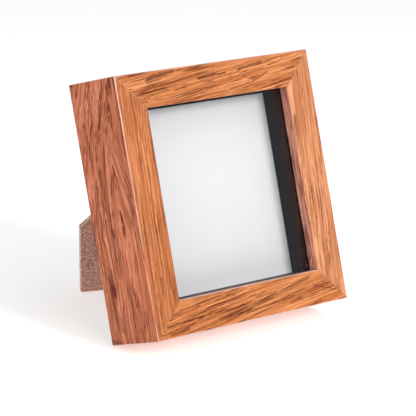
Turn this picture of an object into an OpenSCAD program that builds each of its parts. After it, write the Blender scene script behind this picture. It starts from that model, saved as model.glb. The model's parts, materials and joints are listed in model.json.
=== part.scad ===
// Square box frame for displaying a coin, standing on a folding strut.
//
// Every piece is drawn in the frame's own directions: X to the right, Y from the front
// face to the back, Z up the face, with the origin at the middle of the front bottom edge.
// standing() then tips the whole frame back and sets it on the table, with the origin at
// the middle of the box it fills, at table height.

/* [Rails] */
// Overall width of the frame
outer_w = 140; // [112:1:200]
// Overall height of the frame
outer_h = 140; // [112:1:200]
// Depth of the rails from front to back
rail_depth = 38; // [31:1:60]
// Width of the rails' front face
face_w = 19; // [15:0.5:28]
// How far the front lip covers the glass
lip_w = 6; // [4:0.5:8]
// Depth of the front lip
lip_depth = 6; // [4:0.5:10]
// Radius of the worn front edges
edge_r = 0.6; // [0.3:0.1:1.5]

/* [Glazing] */
// Thickness of the glass
glass_t = 2; // [1:0.5:3]
// Distance that the front spacers hold between the glass and the insert card
spacer_depth = 13; // [6:0.5:18]
// Thickness of the insert card
insert_t = 0.6; // [0.3:0.1:3]
// Thickness of the backboard
board_t = 3; // [2:0.5:4]
// Gap left at each side of the pieces that drop into the rebate
drop_in_gap = 0.5; // [0.2:0.1:0.8]
// How far the spacers stand proud of the lip's inner edge at each side
spacer_proud = 0.4; // [0:0.1:1]

/* [Corner nails] */
// Length of a V-nail into the rail
nail_depth = 8; // [5:1:12]
// Distance across a V-nail's two wings
nail_w = 6; // [4:0.5:8]
// Thickness of the nail's sheet
nail_t = 0.6; // [0.4:0.1:1]

/* [Turn buttons] */
// Length of a turn button
button_l = 20; // [16:1:22]
// Width of a turn button
button_w = 9; // [8:0.5:10]
// Thickness of a turn button
button_t = 1.2; // [0.8:0.1:2]
// Radius of the screws' shanks
screw_r = 1.4; // [1:0.1:1.7]
// Length of the screws into the rails
screw_l = 9; // [6:1:14]
// Distance of each turn button's screw from the nearest corner
button_inset = 26; // [24:1:30]

/* [Strut] */
// Angle that the frame leans back
lean = 20; // [17:0.5:24]
// Angle between the backboard and the opened leg
open_angle = 41.3; // [36:0.1:48]
// Turn of the hinge line away from level, seen from the front
skew = -23; // [-28:1:-18]
// Distance of the hinge's middle below the top of the frame
hinge_drop = 35; // [28:1:42]
// Thickness of the leg's board
leg_t = 2.5; // [1.5:0.25:3]
// Width of the leg's neck
neck_w = 25; // [20:1:30]
// Where the foot's low corner lies across the leg, from the hinge's middle
toe_shift = 5.5; // [0:0.2:12]
// Length of the leg's slanting side, from the low corner to the shoulder
toe_side = 46.4; // [36:0.5:56]
// Angle of that side to the leg's length
toe_side_angle = 34.7; // [28:0.5:42]
// Angle of the shoulder to the leg's length
shoulder_angle = 19; // [16:0.5:30]
// Length of the foot's edge across the leg
foot_w = 31.4; // [24:0.5:40]

/* [Hinge] */
// Radius of the hinge pin
pin_r = 0.9; // [0.7:0.1:1.1]
// Radial clearance of the pin in its knuckles
pin_clearance = 0.05; // [0.02:0.01:0.08]
// Thickness of the hinge's sheet steel
leaf_t = 0.8; // [0.6:0.1:1]
// Width of the fixed leaf along the pin
fixed_leaf_w = 28; // [26:1:34]
// Height of the fixed leaf above the pin
fixed_leaf_h = 14; // [12:1:18]
// Width of the moving leaf along the pin
moving_leaf_w = 11; // [9:0.5:12]
// Length of the moving leaf down the leg
moving_leaf_l = 22; // [18:1:28]
// Length of the stop tab above the pin
stop_l = 7; // [5:0.5:9]
// Radius of the rivets' shanks
rivet_r = 1.4; // [1:0.1:1.6]
// Radius of the rivets' heads
rivet_head_r = 2.5; // [2:0.1:2.6]

/* [Hanging plates] */
// Length of a hanging plate
hanger_l = 32; // [30:1:34]
// Width of a hanging plate
hanger_w = 9; // [8:0.5:10]
// Thickness of a hanging plate
hanger_t = 0.8; // [0.6:0.1:1.2]
// Height that the plate's middle stands off the rail
hanger_rise = 2.4; // [1.5:0.1:3]
// Radius of the hole that the wall nail's head goes through
nail_hole_r = 2.25; // [1.5:0.05:2.5]
// Half the width of the slot that catches the nail
nail_slot_r = 1.1; // [0.8:0.05:1.2]

/* [Hidden] */
$fn = 48;

SIDES = ["top", "bottom", "left", "right"];

// Finishes
oak = [0.72, 0.42, 0.24];
steel = [0.75, 0.75, 0.76];
black = [0.1, 0.1, 0.11];
board_brown = [0.62, 0.47, 0.4];

// Where things lie along the depth, from the front face
cut_margin = 1;
wall_w = face_w - lip_w;
glass_y = lip_depth;
spacer_y = glass_y + glass_t;
insert_y = spacer_y + spacer_depth;
rear_spacer_y = insert_y + insert_t;
board_y = rail_depth - board_t;

// What drops into the rebate, where it rests on the bottom rail and so sits low by the gap
drop_in_w = outer_w - 2 * (wall_w + drop_in_gap);
drop_in_h = outer_h - 2 * (wall_w + drop_in_gap);
spacer_t = lip_w - drop_in_gap + spacer_proud;

// Small fasteners
hole_clearance = 0.05;
flat_gap = 0.2;
screw_head_r = 2 * screw_r;
screw_head_h = 1.6;
cross_w = 0.6;
cross_depth = 0.9;
button_end_r = button_w / 2;
hanger_foot = 8.5;
hanger_ramp = 3;
hanger_screw_r = 1.1;
hanger_screw_l = 7;
hanger_screw_x = hanger_l / 2 - hanger_foot / 2;
hanger_hole_shift = 1;
nail_slot_l = 3.6;
rivet_head_h = 0.9;
rivet_tail_h = 0.7;
board_rivet_z = 0.6 * fixed_leaf_h;

// Hinge: the pin lies behind the backboard by the fixed knuckles' radius and a little more
bore_r = pin_r + pin_clearance;
knuckle_wall = 1.05;
fixed_knuckle_r = bore_r + knuckle_wall;
knuckle_rub_gap = 0.3;
knuckle_inset = 0.05;
hinge_lift = fixed_knuckle_r + knuckle_inset;
moving_knuckle_r = fixed_knuckle_r - knuckle_rub_gap;
knuckle_side_gap = 0.3;
pin_head_r = 1.5;
pin_head_h = 0.6;
stop_gap = 0.1;
fixed_knuckle_x = moving_leaf_w / 2 + knuckle_side_gap;
hinge_z = outer_h - hinge_drop;
hinge_y = rail_depth + hinge_lift;

// Leg: the leaf lies on the leg's back face, just inside the moving knuckle's round
leg_back = moving_knuckle_r - leaf_t - knuckle_inset;
leg_front = leg_back - leg_t;
leg_top = fixed_knuckle_r + 0.6;

// Distance down the leg, at u across it, at which the leg's front face meets the table
reach = sin(open_angle) * sin(lean) + cos(open_angle) * cos(skew) * cos(lean);
function foot_at(u) =
    ((hinge_z + u * sin(skew) + leg_front * sin(open_angle) * cos(skew)) * cos(lean)
     - (leg_front * cos(open_angle) + hinge_lift) * sin(lean)) / reach;
toe = [toe_shift, foot_at(toe_shift)];
heel = [toe_shift + foot_w, foot_at(toe_shift + foot_w)];
shoulder = toe - toe_side * [sin(toe_side_angle), cos(toe_side_angle)];
neck_end = shoulder[1] - (-neck_w / 2 - shoulder[0]) / tan(shoulder_angle);
leg_outline = [[-neck_w / 2, leg_top], [neck_w / 2, leg_top], heel, toe, shoulder,
               [-neck_w / 2, neck_end]];

// Furthest point behind the frame: the back of the leg's toe, or the frame's top back edge
toe_back_y = hinge_y + toe[1] * sin(open_angle) + leg_back * cos(open_angle);
toe_back_z = hinge_z + toe[0] * sin(skew) - toe[1] * cos(open_angle) * cos(skew)
             + leg_back * sin(open_angle) * cos(skew);
function ground_y(y, z) = y * cos(lean) + z * sin(lean);
back_reach = max(ground_y(toe_back_y, toe_back_z), ground_y(rail_depth, outer_h));

module standing() {
    translate([0, -back_reach / 2, rail_depth * sin(lean)])
        rotate([-lean, 0, 0])
            children();
}

// Local directions of one side of the frame: X along the rail, Z inward from its outer face
module on_side(side) {
    if (side == "bottom") children();
    if (side == "top") translate([0, 0, outer_h]) rotate([0, 180, 0]) children();
    if (side == "left") translate([-outer_w / 2, 0, outer_h / 2]) rotate([0, 90, 0]) children();
    if (side == "right") translate([outer_w / 2, 0, outer_h / 2]) rotate([0, -90, 0]) children();
}
function side_length(side) = (side == "top" || side == "bottom") ? outer_w : outer_h;

// A cylinder that points to the back
module rod(r, length) {
    rotate([-90, 0, 0]) cylinder(r = r, h = length);
}

function arc(cy, cz, r, from, to) =
    [for (i = [0 : 4]) [cy + r * cos(from + (to - from) * i / 4), cz + r * sin(from + (to - from) * i / 4)]];

// Section of a rail: front lip, rebate behind it, and outer wall
function rail_section() = concat(
    arc(edge_r, edge_r, edge_r, 270, 180),
    arc(edge_r, face_w - edge_r, edge_r, 180, 90),
    [[lip_depth, face_w], [lip_depth, wall_w], [rail_depth, wall_w], [rail_depth, 0]]);

module mitred_bar(length) {
    reach_in = face_w + cut_margin;
    intersection() {
        rotate([90, 0, 90])
            linear_extrude(length, center = true)
                polygon(rail_section());
        rotate([90, 0, 0])
            translate([0, 0, -rail_depth - cut_margin])
                linear_extrude(rail_depth + 2 * cut_margin)
                    polygon([[-length / 2, 0], [length / 2, 0],
                             [length / 2 - reach_in, reach_in], [-length / 2 + reach_in, reach_in]]);
    }
}

module corner_nail_at(along) {
    wing = nail_w / 2;
    translate([along, rail_depth - nail_depth, along])
        rotate([-90, 0, 0])
            linear_extrude(nail_depth)
                rotate(-45)
                    polygon([[0, 0], [-wing, wing], [-wing - nail_t, wing], [-nail_t, 0],
                             [-wing - nail_t, -wing], [-wing, -wing]]);
}

module corner_nail_pair() {
    corner_nail_at(0.42 * wall_w);
    corner_nail_at(0.8 * wall_w);
}

module every_corner_nail() {
    translate([-outer_w / 2, 0, 0]) corner_nail_pair();
    translate([outer_w / 2, 0, 0]) rotate([0, -90, 0]) corner_nail_pair();
    translate([outer_w / 2, 0, outer_h]) rotate([0, 180, 0]) corner_nail_pair();
    translate([-outer_w / 2, 0, outer_h]) rotate([0, 90, 0]) corner_nail_pair();
}

// Where each turn button's screw stands along its rail: to the right, or towards the top
function button_x(side) =
    (side == "bottom" || side == "right" ? 1 : -1) * (side_length(side) / 2 - button_inset);

function has_hanger(side) = side == "top" || side == "right";

module pilot_holes(side) {
    translate([button_x(side), rail_depth - screw_l, wall_w / 2])
        rod(screw_r + hole_clearance, screw_l + cut_margin);
    if (has_hanger(side))
        for (x = [-hanger_screw_x, hanger_screw_x])
            translate([x, rail_depth - hanger_screw_l, wall_w / 2])
                rod(hanger_screw_r + hole_clearance, hanger_screw_l + cut_margin);
}

module rail(side) {
    color(oak)
        standing()
            difference() {
                on_side(side)
                    difference() {
                        mitred_bar(side_length(side));
                        pilot_holes(side);
                    }
                every_corner_nail();
            }
}
module rail_top() rail("top");
module rail_bottom() rail("bottom");
module rail_left() rail("left");
module rail_right() rail("right");

module corner_nails() {
    color(steel) standing() every_corner_nail();
}

module dropped() {
    translate([0, 0, -drop_in_gap]) children();
}

// A sheet of the drop-in size, from depth y
module drop_in_sheet(y, t) {
    dropped()
        translate([-drop_in_w / 2, y, wall_w + drop_in_gap])
            cube([drop_in_w, t, drop_in_h]);
}

module glass() {
    color([0.8, 0.9, 0.9, 0.3]) standing() drop_in_sheet(glass_y, glass_t);
}

module insert_card() {
    color("white") standing() drop_in_sheet(insert_y, insert_t);
}

// Spacer strips: the top and bottom ones run right across, the side ones fit between them
module spacer(side, y, depth) {
    across = side == "top" || side == "bottom";
    length = across ? drop_in_w : drop_in_h - 2 * spacer_t;
    color(black)
        standing()
            dropped()
                on_side(side)
                    translate([-length / 2, y, wall_w + drop_in_gap])
                        cube([length, depth, spacer_t]);
}
module front_spacer_top() spacer("top", spacer_y, spacer_depth);
module front_spacer_bottom() spacer("bottom", spacer_y, spacer_depth);
module front_spacer_left() spacer("left", spacer_y, spacer_depth);
module front_spacer_right() spacer("right", spacer_y, spacer_depth);
module rear_spacer_top() spacer("top", rear_spacer_y, board_y - rear_spacer_y);
module rear_spacer_bottom() spacer("bottom", rear_spacer_y, board_y - rear_spacer_y);
module rear_spacer_left() spacer("left", rear_spacer_y, board_y - rear_spacer_y);
module rear_spacer_right() spacer("right", rear_spacer_y, board_y - rear_spacer_y);

// Hinge directions: origin on the pin's middle, X along the pin, Y back, Z up the board
module at_hinge() {
    translate([0, hinge_y, hinge_z]) rotate([0, -skew, 0]) children();
}
module opened() {
    rotate([open_angle, 0, 0]) children();
}
board_rivet_x = (fixed_knuckle_x + fixed_leaf_w / 2) / 2;
leg_rivet_z = [-0.42 * moving_leaf_l, -0.78 * moving_leaf_l];

module at_board_rivets() {
    for (x = [-board_rivet_x, board_rivet_x])
        translate([x, -hinge_lift, board_rivet_z]) children();
}
module at_leg_rivets() {
    for (z = leg_rivet_z)
        translate([0, leg_back, z]) children();
}

module backboard() {
    color(board_brown)
        standing()
            difference() {
                drop_in_sheet(board_y, board_t);
                at_hinge()
                    at_board_rivets()
                        translate([0, -board_t - cut_margin, 0])
                            rod(rivet_r + hole_clearance, board_t + 2 * cut_margin);
            }
}

// Screws: a domed head with a cross recess, on a plain shank
module screw(shank_r, length, head_r) {
    difference() {
        union() {
            translate([0, -length, 0]) rod(shank_r, length + cut_margin / 2);
            rotate([-90, 0, 0])
                rotate_extrude()
                    polygon([[0, 0], [head_r, 0], [head_r, 0.35 * screw_head_h],
                             [0.86 * head_r, 0.72 * screw_head_h],
                             [0.55 * head_r, screw_head_h], [0, screw_head_h]]);
        }
        for (a = [0, 90])
            rotate([0, a, 0])
                translate([-0.58 * head_r, screw_head_h - cross_depth, -cross_w / 2])
                    cube([1.16 * head_r, cross_depth + cut_margin, cross_w]);
    }
}

module turn_button(side) {
    arm = button_l - 2 * button_end_r;
    color(steel)
        standing()
            on_side(side)
                translate([button_x(side), rail_depth + flat_gap, wall_w / 2])
                    difference() {
                        union() {
                            rod(button_end_r, button_t);
                            translate([-button_end_r, 0, 0]) cube([button_w, button_t, arm]);
                            translate([0, 0, arm]) rod(button_end_r, button_t);
                        }
                        translate([0, -cut_margin, 0])
                            rod(screw_r + hole_clearance, button_t + 2 * cut_margin);
                    }
}
module turn_button_top() turn_button("top");
module turn_button_bottom() turn_button("bottom");
module turn_button_left() turn_button("left");
module turn_button_right() turn_button("right");

module button_screws() {
    head_y = rail_depth + button_t + 1.5 * flat_gap;
    color(steel)
        standing()
            for (side = SIDES)
                on_side(side)
                    translate([button_x(side), head_y, wall_w / 2])
                        screw(screw_r, head_y - rail_depth + screw_l, screw_head_r);
}

module hinge_fixed_leaf() {
    knuckle_l = fixed_leaf_w / 2 - fixed_knuckle_x;
    leaf_bottom = fixed_knuckle_r + knuckle_rub_gap;
    color(steel)
        standing()
            at_hinge()
                difference() {
                    union() {
                        translate([-fixed_leaf_w / 2, -hinge_lift, leaf_bottom])
                            cube([fixed_leaf_w, leaf_t, fixed_leaf_h - leaf_bottom]);
                        for (x = [-fixed_leaf_w / 2, fixed_knuckle_x])
                            translate([x, 0, 0]) {
                                translate([0, -hinge_lift, 0])
                                    cube([knuckle_l, leaf_t, leaf_bottom + cut_margin]);
                                rotate([0, 90, 0]) cylinder(r = fixed_knuckle_r, h = knuckle_l);
                            }
                    }
                    translate([-fixed_leaf_w / 2 - cut_margin, 0, 0])
                        rotate([0, 90, 0])
                            cylinder(r = bore_r, h = fixed_leaf_w + 2 * cut_margin);
                    at_board_rivets()
                        translate([0, -cut_margin, 0])
                            rod(rivet_r + hole_clearance, leaf_t + 2 * cut_margin);
                }
}

module hinge_pin() {
    head_x = fixed_leaf_w / 2 + stop_gap;
    color(steel)
        standing()
            at_hinge() {
                translate([-head_x, 0, 0]) rotate([0, 90, 0]) cylinder(r = pin_r, h = 2 * head_x);
                for (x = [-head_x - pin_head_h, head_x])
                    translate([x, 0, 0]) rotate([0, 90, 0]) cylinder(r = pin_head_r, h = pin_head_h);
            }
}

module hinge_moving_leaf() {
    color(steel)
        standing()
            at_hinge()
                difference() {
                    union() {
                        translate([-moving_leaf_w / 2, 0, 0])
                            rotate([0, 90, 0]) cylinder(r = moving_knuckle_r, h = moving_leaf_w);
                        opened()
                            translate([-moving_leaf_w / 2, leg_back, -moving_leaf_l])
                                cube([moving_leaf_w, leaf_t, moving_leaf_l]);
                        translate([-moving_leaf_w / 2, leaf_t + stop_gap - hinge_lift, 0])
                            cube([moving_leaf_w, leaf_t, stop_l]);
                    }
                    translate([-fixed_leaf_w / 2, 0, 0])
                        rotate([0, 90, 0]) cylinder(r = bore_r, h = fixed_leaf_w);
                    opened()
                        at_leg_rivets()
                            translate([0, -cut_margin, 0])
                                rod(rivet_r + hole_clearance, leaf_t + 2 * cut_margin);
                }
}

// A rivet's domed head, to be set on the face that it holds
module rivet_head() {
    rotate([-90, 0, 0])
        rotate_extrude()
            polygon([[0, 0], [rivet_head_r, 0], [rivet_head_r, 0.3 * rivet_head_h],
                     [0.8 * rivet_head_r, 0.75 * rivet_head_h],
                     [0.4 * rivet_head_r, rivet_head_h], [0, rivet_head_h]]);
}

module board_rivets() {
    color(steel)
        standing()
            at_hinge()
                at_board_rivets() {
                    translate([0, leaf_t, 0]) rivet_head();
                    translate([0, -board_t - rivet_tail_h, 0])
                        rod(rivet_r, board_t + rivet_tail_h + leaf_t + rivet_head_h / 4);
                    translate([0, -board_t - rivet_tail_h, 0]) rod(0.8 * rivet_head_r, rivet_tail_h);
                }
}

module leg_rivets() {
    color(steel)
        standing()
            at_hinge()
                opened()
                    at_leg_rivets() {
                        translate([0, leaf_t, 0]) rivet_head();
                        translate([0, -leg_t, 0]) rod(rivet_r, leg_t + leaf_t + rivet_head_h / 4);
                    }
}

module strut_leg() {
    color(board_brown)
        standing()
            at_hinge()
                opened()
                    difference() {
                        translate([0, leg_back, 0])
                            rotate([90, 0, 0])
                                linear_extrude(leg_t)
                                    mirror([0, 1, 0])
                                        polygon(leg_outline);
                        at_leg_rivets()
                            translate([0, -leg_t - cut_margin, 0])
                                rod(rivet_r + hole_clearance, leg_t + 2 * cut_margin);
                    }
}

// Hanging plate: two feet on the rail and a raised middle with a keyhole
module hanger(side) {
    foot_x = hanger_l / 2 - hanger_foot;
    flat_x = foot_x - hanger_ramp;
    top = hanger_rise + hanger_t;
    color(steel)
        standing()
            on_side(side)
                translate([0, rail_depth, wall_w / 2])
                    difference() {
                        translate([0, 0, -hanger_w / 2])
                            linear_extrude(hanger_w)
                                polygon([[-hanger_l / 2, 0], [-foot_x, 0], [-flat_x, hanger_rise],
                                         [flat_x, hanger_rise], [foot_x, 0], [hanger_l / 2, 0],
                                         [hanger_l / 2, hanger_t], [foot_x, hanger_t],
                                         [flat_x, top], [-flat_x, top],
                                         [-foot_x, hanger_t], [-hanger_l / 2, hanger_t]]);
                        translate([0, 0, hanger_hole_shift])
                            rod(nail_hole_r, top + cut_margin);
                        translate([0, 0, hanger_hole_shift - nail_slot_l])
                            rod(nail_slot_r, top + cut_margin);
                        translate([-nail_slot_r, 0, hanger_hole_shift - nail_slot_l])
                            cube([2 * nail_slot_r, top + cut_margin, nail_slot_l]);
                        for (x = [-hanger_screw_x, hanger_screw_x])
                            translate([x, -cut_margin, 0])
                                rod(hanger_screw_r + hole_clearance, hanger_t + 2 * cut_margin);
                    }
}
module hanger_top() hanger("top");
module hanger_side() hanger("right");

module hanger_screws() {
    color(steel)
        standing()
            for (side = SIDES)
                if (has_hanger(side))
                    on_side(side)
                        for (x = [-hanger_screw_x, hanger_screw_x])
                            translate([x, rail_depth + hanger_t, wall_w / 2])
                                screw(hanger_screw_r, hanger_t + hanger_screw_l, 2 * hanger_screw_r);
}

rail_top();
rail_bottom();
rail_left();
rail_right();
corner_nails();
glass();
front_spacer_top();
front_spacer_bottom();
front_spacer_left();
front_spacer_right();
insert_card();
rear_spacer_top();
rear_spacer_bottom();
rear_spacer_left();
rear_spacer_right();
backboard();
turn_button_top();
turn_button_bottom();
turn_button_left();
turn_button_right();
button_screws();
hinge_fixed_leaf();
hinge_pin();
hinge_moving_leaf();
board_rivets();
leg_rivets();
strut_leg();
hanger_top();
hanger_side();
hanger_screws();
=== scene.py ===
"""Looks of a square box frame for one coin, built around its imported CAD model.

The frame stands tilted back on its strut. Every piece is placed from the model itself:
"face" directions are the frame's own, with X to the right, Y from the front to the back
and Z up the face, in millimetres from the middle of the front bottom edge.
"""

import json
from math import atan2, cos, pi, radians, sin

import bmesh
import bpy
from bpy.props import FloatProperty, FloatVectorProperty, PointerProperty
from mathutils import Matrix, Vector


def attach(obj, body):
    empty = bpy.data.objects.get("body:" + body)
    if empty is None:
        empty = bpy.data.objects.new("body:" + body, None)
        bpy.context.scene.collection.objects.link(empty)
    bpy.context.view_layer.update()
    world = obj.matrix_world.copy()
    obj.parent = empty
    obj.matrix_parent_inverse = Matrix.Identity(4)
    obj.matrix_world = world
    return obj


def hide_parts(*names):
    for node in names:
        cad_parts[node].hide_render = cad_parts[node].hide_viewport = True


bl_info = {
    "name": "Coin Display Frame",
    "version": (1, 0, 0),
    "blender": (4, 5, 0),
    "location": "3D View > Sidebar > Coin Frame",
    "description": "Finishes a box frame on a strut: foil rails, glass, spacers, card and back fittings",
    "category": "Object",
}

MM = 0.001

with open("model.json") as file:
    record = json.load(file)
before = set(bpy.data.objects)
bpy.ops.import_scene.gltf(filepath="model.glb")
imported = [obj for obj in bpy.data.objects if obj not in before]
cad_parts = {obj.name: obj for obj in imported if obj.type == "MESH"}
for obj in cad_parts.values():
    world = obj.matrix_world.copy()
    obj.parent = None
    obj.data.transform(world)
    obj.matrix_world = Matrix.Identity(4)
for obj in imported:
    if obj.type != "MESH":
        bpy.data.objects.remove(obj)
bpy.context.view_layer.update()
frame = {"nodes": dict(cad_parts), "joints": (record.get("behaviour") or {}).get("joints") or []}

SIDES = ("top", "bottom", "left", "right")
RAILS = tuple("rail_" + side for side in SIDES)
STRUT = next(j for j in frame["joints"] if j["name"] == "strut_fold")
BUTTON = next(j for j in frame["joints"] if j["name"] == "button_top_turn")


# ---------------------------------------------------------------- where things are

def lean_angle():
    """How far the frame leans back, from the direction of a turn button's screw."""
    return atan2(-BUTTON["axis"][2], BUTTON["axis"][1])


def box_of(points):
    """Lowest and highest corner of some points."""
    low = Vector(min(p[i] for p in points) for i in range(3))
    high = Vector(max(p[i] for p in points) for i in range(3))
    return low, high


LEAN = lean_angle()
UPRIGHT = Matrix.Rotation(LEAN, 4, "X")
_low, _high = box_of([UPRIGHT @ v.co for name in RAILS for v in frame["nodes"][name].data.vertices])
WIDTH, DEPTH, HEIGHT = ((_high - _low)[i] / MM for i in range(3))
# Leads from face directions in millimetres to the standing frame in metres
FACE = (Matrix.Rotation(-LEAN, 4, "X") @ Matrix.Translation((0, _low.y, _low.z))
        @ Matrix.Scale(MM, 4))


def hinge_frame():
    """Leads from the strut hinge's directions to the standing frame: X along the pin, Y back."""
    along = Vector(STRUT["axis"]).normalized()
    back = (FACE.to_3x3() @ Vector((0, 1, 0))).normalized()
    up = along.cross(back)
    turn = Matrix((along, back, up)).transposed().to_4x4()
    return Matrix.Translation(STRUT["pos_m"]) @ turn @ Matrix.Scale(MM, 4)


HINGE = hinge_frame()
LEG = HINGE @ Matrix.Rotation(radians(-STRUT["range_deg"][0]), 4, "X")

# In millimetres
WALL = 13.0        # rebate wall of a rail
FACE_W = 19.0      # front face of a rail
LIP = 6.0          # depth of the front lip
DROP_IN_GAP = 0.5  # gap at each side of the pieces that drop into the rebate
TURN = (0.9, 0.5)  # how far from an arris one face's pattern gives way to the next's


# ---------------------------------------------------------------- settings

def colour(name, about, value):
    return FloatVectorProperty(name=name, description=about, default=value,
                               size=3, min=0, max=1, subtype="COLOR")


def share(name, about, value, low=0.0, high=1.0):
    return FloatProperty(name=name, description=about, default=value,
                         min=low, max=high, subtype="FACTOR")


def length(name, about, value, low, high):
    return FloatProperty(name=name, description=about, default=value * MM,
                         min=low * MM, max=high * MM, unit="LENGTH", precision=5)


class FoilSettings(bpy.types.PropertyGroup):
    light: colour("Light wood", "Foil colour between the grain lines", (0.71, 0.272, 0.105))
    middle: colour("Middle wood", "Foil colour in the broad bands", (0.44, 0.130, 0.038))
    dark: colour("Grain", "Foil colour in the grain lines", (0.115, 0.018, 0.003))
    streak: colour("Streak", "Foil colour in the heaviest streaks", (0.065, 0.008, 0.0015))
    worn: colour("Worn edge", "Paper that shows where the foil is rubbed", (0.80, 0.56, 0.46))
    gloss: share("Roughness", "Roughness of the satin foil", 0.42)
    turn_over: length("Turn-over", "Width of the foil turned over the rail's back", 3.2, 0.5, 8)


class BoardSettings(bpy.types.PropertyGroup):
    backboard: colour("Backboard", "Fibreboard of the back", (0.25, 0.135, 0.085))
    leg: colour("Leg", "Fibreboard of the strut", (0.50, 0.265, 0.205))
    cut_edge: colour("Cut edge", "Fibreboard where a blade has cut it", (0.62, 0.42, 0.33))
    spacer: colour("Front spacer", "Black strip between glass and card", (0.002, 0.0035, 0.0055))
    raw_spacer: colour("Rear spacer", "Grey board behind the card", (0.30, 0.27, 0.22))
    card: colour("Insert card", "Plain card at the back of the display space", (0.67, 0.68, 0.70))
    ease: length("Eased edge", "Rounding of the boards' cut edges", 0.25, 0.05, 1)


class MetalSettings(bpy.types.PropertyGroup):
    zinc: colour("Zinc", "Plated fittings on the back", (0.62, 0.63, 0.64))
    nail: colour("Corner nail", "Bright strip of the V-nails", (0.50, 0.50, 0.51))
    gloss: share("Roughness", "Roughness of the plating", 0.32)
    ease: length("Eased edge", "Rounding of the sheet's edges", 0.15, 0.03, 0.4)


class StageSettings(bpy.types.PropertyGroup):
    floor: colour("Floor", "Pale floor under the frame", (0.90, 0.90, 0.90))
    glow: share("Floor glow", "How much the floor shines by itself, as a lit table does", 0.47)
    sky: share("Surrounding light", "Strength of the even white surroundings", 0.26, 0, 3)
    key: FloatProperty(name="Key light", description="Power of the soft box in front, high on the right",
                       default=22, min=0, max=500, unit="POWER")
    fill: FloatProperty(name="Fill light", description="Power of the soft box at the left",
                        default=13, min=0, max=500, unit="POWER")
    top: FloatProperty(name="Top light", description="Power of the wide soft box high in front",
                       default=7, min=0, max=500, unit="POWER")
    lens: FloatProperty(name="Lens", description="Focal length of the camera",
                        default=221.76, min=20, max=400, unit="CAMERA")


# ---------------------------------------------------------------- finishes

STREAK_CORE = 0.35     # share of a streak's width that has its full strength


class Finish:
    """A material made of nodes. Sockets and plain numbers can be mixed in every call."""

    def __init__(self, name, **shader):
        self.material = bpy.data.materials.new(name)
        self.material.use_nodes = True
        self.nodes = self.material.node_tree.nodes
        self.links = self.material.node_tree.links
        self.shader = self.nodes["Principled BSDF"]
        self.set(**shader)

    def set(self, **sockets):
        """Sets or links the shader's own sockets: base_color, roughness, metallic and so on."""
        for name, value in sockets.items():
            self.plug(value, self.shader.inputs[name.replace("_", " ").title().replace("Ior", "IOR")])

    def plug(self, value, socket):
        if isinstance(value, bpy.types.NodeSocket):
            self.links.new(value, socket)
        elif socket.type == "RGBA" and len(value) == 3:
            socket.default_value = (*value, 1)
        else:
            socket.default_value = value

    def node(self, kind, *values, **settings):
        made = self.nodes.new(kind)
        for name, value in settings.items():
            setattr(made, name, value)
        for value, socket in zip(values, made.inputs):
            if value is not None:
                self.plug(value, socket)
        return made

    def math(self, operation, *values, clamp=False):
        return self.node("ShaderNodeMath", *values, operation=operation, use_clamp=clamp).outputs[0]

    def add(self, a, b):
        return self.math("ADD", a, b)

    def sub(self, a, b):
        return self.math("SUBTRACT", a, b)

    def mul(self, a, b):
        return self.math("MULTIPLY", a, b)

    def vector(self, x, y, z=0.0):
        return self.node("ShaderNodeCombineXYZ", x, y, z).outputs[0]

    def vmath(self, operation, *values, out="Vector"):
        return self.node("ShaderNodeVectorMath", *values, operation=operation).outputs[out]

    def smooth(self, value, low, high, to_low=0.0, to_high=1.0):
        """Eases from to_low to to_high as value goes from low to high."""
        return self.node("ShaderNodeMapRange", value, low, high, to_low, to_high,
                         interpolation_type="SMOOTHSTEP").outputs[0]

    def noise(self, vector, scale=1.0, detail=2.0, roughness=0.5, distortion=0.0):
        made = self.node("ShaderNodeTexNoise")
        for name, value in (("Vector", vector), ("Scale", scale), ("Detail", detail),
                            ("Roughness", roughness), ("Distortion", distortion)):
            self.plug(value, made.inputs[name])
        return made.outputs["Fac"]

    def cells(self, vector, scale):
        """Distance from the nearest of many scattered points, as a share of their spacing."""
        made = self.node("ShaderNodeTexVoronoi")
        self.plug(vector, made.inputs["Vector"])
        self.plug(scale, made.inputs["Scale"])
        return made.outputs["Distance"]

    def mix(self, factor, a, b, blend="MIX"):
        made = self.nodes.new("ShaderNodeMix")
        made.data_type = "RGBA"
        made.blend_type = blend
        self.plug(factor, made.inputs["Factor"])
        for value, socket in ((a, made.inputs[6]), (b, made.inputs[7])):
            self.plug(value, socket)
        return made.outputs[2]

    def bump(self, height, strength, distance):
        """Raises the surface by height, where distance is in millimetres."""
        made = self.nodes.new("ShaderNodeBump")
        made.inputs["Strength"].default_value = strength
        made.inputs["Distance"].default_value = distance * MM
        self.plug(height, made.inputs["Height"])
        if self.shader.inputs["Normal"].is_linked:
            self.links.new(self.shader.inputs["Normal"].links[0].from_socket, made.inputs["Normal"])
        self.links.new(made.outputs["Normal"], self.shader.inputs["Normal"])

    def face(self):
        """The face directions of the surface, as three sockets in millimetres."""
        place = self.node("ShaderNodeMapping", vector_type="TEXTURE")
        place.inputs["Location"].default_value = FACE.translation
        place.inputs["Rotation"].default_value = (-LEAN, 0, 0)
        place.inputs["Scale"].default_value = (MM, MM, MM)
        self.links.new(self.node("ShaderNodeTexCoord").outputs["Object"], place.inputs["Vector"])
        apart = self.node("ShaderNodeSeparateXYZ", place.outputs[0])
        return apart.outputs[0], apart.outputs[1], apart.outputs[2]

    def beside(self, point, start, end, width):
        """1 on the line from start to end, easing to 0 at width from it, with tapering ends."""
        reach = Vector(end) - Vector(start)
        offset = self.vmath("SUBTRACT", point, (*start, 0))
        along = self.math("DIVIDE", self.vmath("DOT_PRODUCT", offset, (*reach, 0), out="Value"),
                          reach.length_squared, clamp=True)
        foot = self.node("ShaderNodeVectorMath", (*reach, 0), operation="SCALE")
        self.plug(along, foot.inputs["Scale"])
        away = self.vmath("LENGTH", self.vmath("SUBTRACT", offset, foot.outputs[0]), out="Value")
        return self.smooth(away, width, STREAK_CORE * width)


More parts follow.
